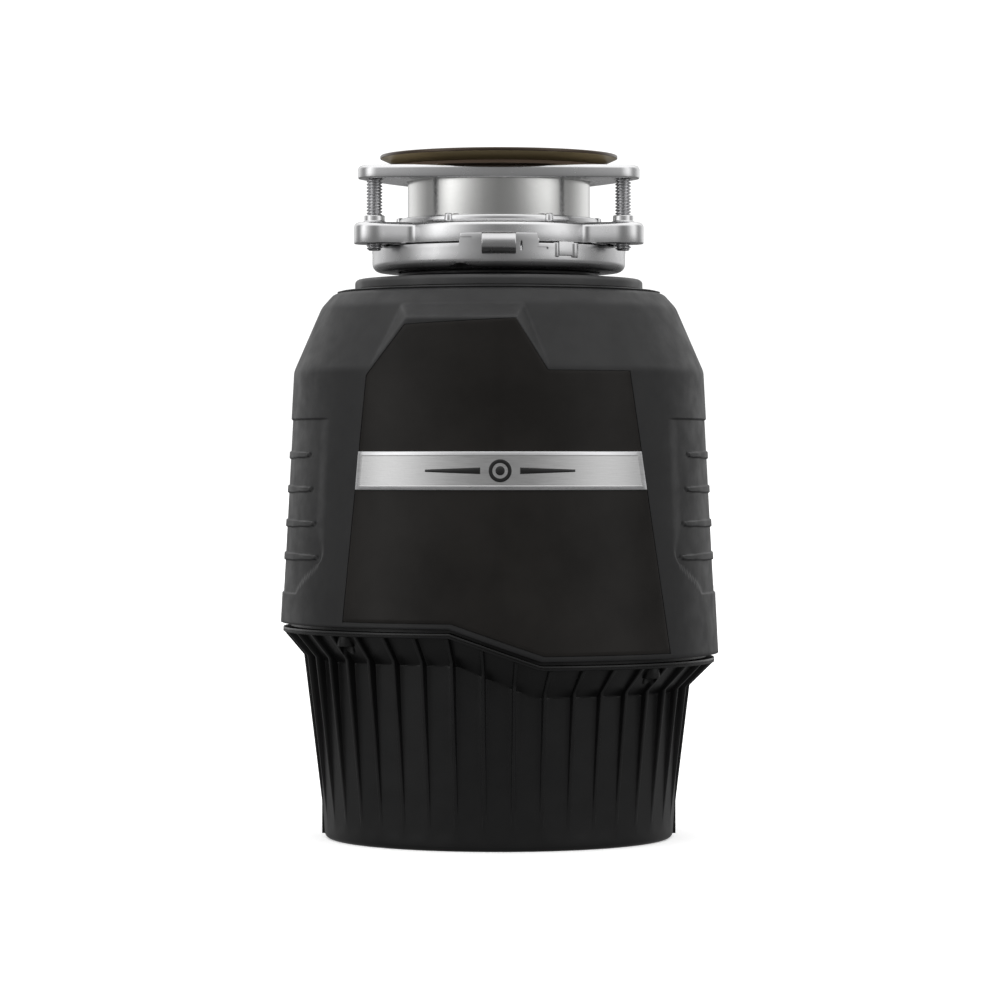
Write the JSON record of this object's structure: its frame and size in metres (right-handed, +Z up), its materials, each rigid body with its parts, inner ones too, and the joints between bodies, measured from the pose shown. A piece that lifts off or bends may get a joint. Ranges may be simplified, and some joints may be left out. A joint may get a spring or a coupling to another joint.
{
  "type": "kitchen garbage disposal",
  "caption": "Under-sink food waste disposer with a three-bolt sink mount, dark tapered shell with a glossy front panel, finned lower shell and a rear discharge elbow.",
  "frame": {"origin": "on the drain axis at the base plane that the unit stands on", "axes": "+Z up towards the sink, -Y the front with the panel and badge, +Y the discharge side, +X to the right seen from the front"},
  "size_m": [0.2074, 0.2728, 0.323],
  "materials": {
    "flange_steel": "polished stainless steel",
    "mount_zinc": "zinc-plated pressed steel",
    "lock_steel": "zinc-plated pressed steel, bright edges",
    "screw_steel": "bright plated, fine thread",
    "fiber_board": "pressed fibre sheet",
    "soft_rubber": "moulded, slightly shiny",
    "cap_plastic": "fine grain",
    "shell_plastic": "fine moulded grain",
    "panel_gloss": "glossy film",
    "badge_metal": "brushed along its length, bevelled edge",
    "skirt_plastic": "satin moulding",
    "insulation_foam": "moulded foam",
    "chamber_steel": "pressed stainless steel",
    "housing_plastic": "glass-filled moulding",
    "fastener_zinc": "zinc-plated",
    "bearing_bronze": "sintered bronze",
    "shaft_steel": "ground steel",
    "cast_aluminium": "die cast",
    "stator_steel": "stacked laminations",
    "winding_copper": "varnished copper wire",
    "relay_plastic": "moulded",
    "protector_plastic": "phenolic moulding",
    "button_red": "glossy",
    "terminal_zinc": "galvanised sheet",
    "ground_green": "green",
    "lead_vinyl": "insulated wire",
    "tube_plastic": "extruded"
  },
  "bodies": {
    "housing": {"sink_flange": "flange_steel", "backup_flange": "mount_zinc", "mounting_ring": "mount_zinc", "snap_ring": "mount_zinc", "fiber_gasket": "fiber_board", "mounting_gasket": "soft_rubber", "sink_baffle": "soft_rubber", "container_seal": "soft_rubber", "shaft_seal": "soft_rubber", "inlet_seal": "soft_rubber", "discharge_gasket": "soft_rubber", "top_cap": "cap_plastic", "upper_shell": "shell_plastic", "front_panel": "panel_gloss", "badge_plate": "badge_metal", "lower_shell": "skirt_plastic", "upper_insulation": "insulation_foam", "grind_container": "chamber_steel", "grind_ring": "chamber_steel", "drain_housing": "housing_plastic", "dishwasher_inlet": "housing_plastic", "inlet_plug": "housing_plastic", "housing_screws": "fastener_zinc", "through_bolts": "fastener_zinc", "terminal_screws": "fastener_zinc", "shell_screws": "fastener_zinc", "discharge_bolts": "fastener_zinc", "discharge_flange": "fastener_zinc", "upper_bearing": "bearing_bronze", "lower_bearing": "bearing_bronze", "lower_end_frame": "cast_aluminium", "stator_core": "stator_steel", "upper_winding": "winding_copper", "lower_winding": "winding_copper", "start_relay": "relay_plastic", "overload_protector": "protector_plastic", "terminal_box": "terminal_zinc", "terminal_cover": "terminal_zinc", "ground_screw": "ground_green", "motor_leads": "lead_vinyl", "discharge_tube": "tube_plastic"},
    "rotor": {"turntable": "chamber_steel", "impeller_rivet_a": "chamber_steel", "impeller_rivet_b": "chamber_steel", "turntable_nut": "chamber_steel", "water_slinger": "housing_plastic", "thrust_washer": "fastener_zinc", "motor_shaft": "shaft_steel", "rotor_core": "shaft_steel", "rotor_end_rings": "cast_aluminium"},
    "impeller_a": {"impeller_a": "chamber_steel"},
    "impeller_b": {"impeller_b": "chamber_steel"},
    "lock_ring": {"lock_ring": "lock_steel"},
    "mount_screw_left": {"mount_screw_left": "screw_steel"},
    "mount_screw_right": {"mount_screw_right": "screw_steel"},
    "mount_screw_rear": {"mount_screw_rear": "screw_steel"},
    "reset_button": {"reset_button": "button_red"}
  },
  "joints": [
    {"name": "rotor_spin", "type": "hinge", "parent": "housing", "child": "rotor", "pos_m": [0, 0, 0.1], "axis": [0, 0, 1], "continuous": true},
    {"name": "impeller_a_swivel", "type": "hinge", "parent": "rotor", "child": "impeller_a", "pos_m": [0.04, 0, 0.162], "axis": [0, 0, 1], "continuous": true},
    {"name": "impeller_b_swivel", "type": "hinge", "parent": "rotor", "child": "impeller_b", "pos_m": [-0.04, 0, 0.162], "axis": [0, 0, 1], "continuous": true},
    {"name": "lock_ring_turn", "type": "hinge", "parent": "housing", "child": "lock_ring", "pos_m": [0, 0, 0.275], "axis": [0, 0, 1], "range_deg": [-22, 0]},
    {"name": "mount_screw_left_slide", "type": "slide", "parent": "housing", "child": "mount_screw_left", "axis": [0, 0, 1], "range_m": [-0.011, 0]},
    {"name": "mount_screw_right_slide", "type": "slide", "parent": "housing", "child": "mount_screw_right", "axis": [0, 0, 1], "range_m": [-0.011, 0]},
    {"name": "mount_screw_rear_slide", "type": "slide", "parent": "housing", "child": "mount_screw_rear", "axis": [0, 0, 1], "range_m": [-0.011, 0]},
    {"name": "reset_button_press", "type": "slide", "parent": "housing", "child": "reset_button", "axis": [0, 0, 1], "range_m": [0, 0.0025], "stiffness_N_per_m": 600, "springref_m": -0.001}
  ]
}
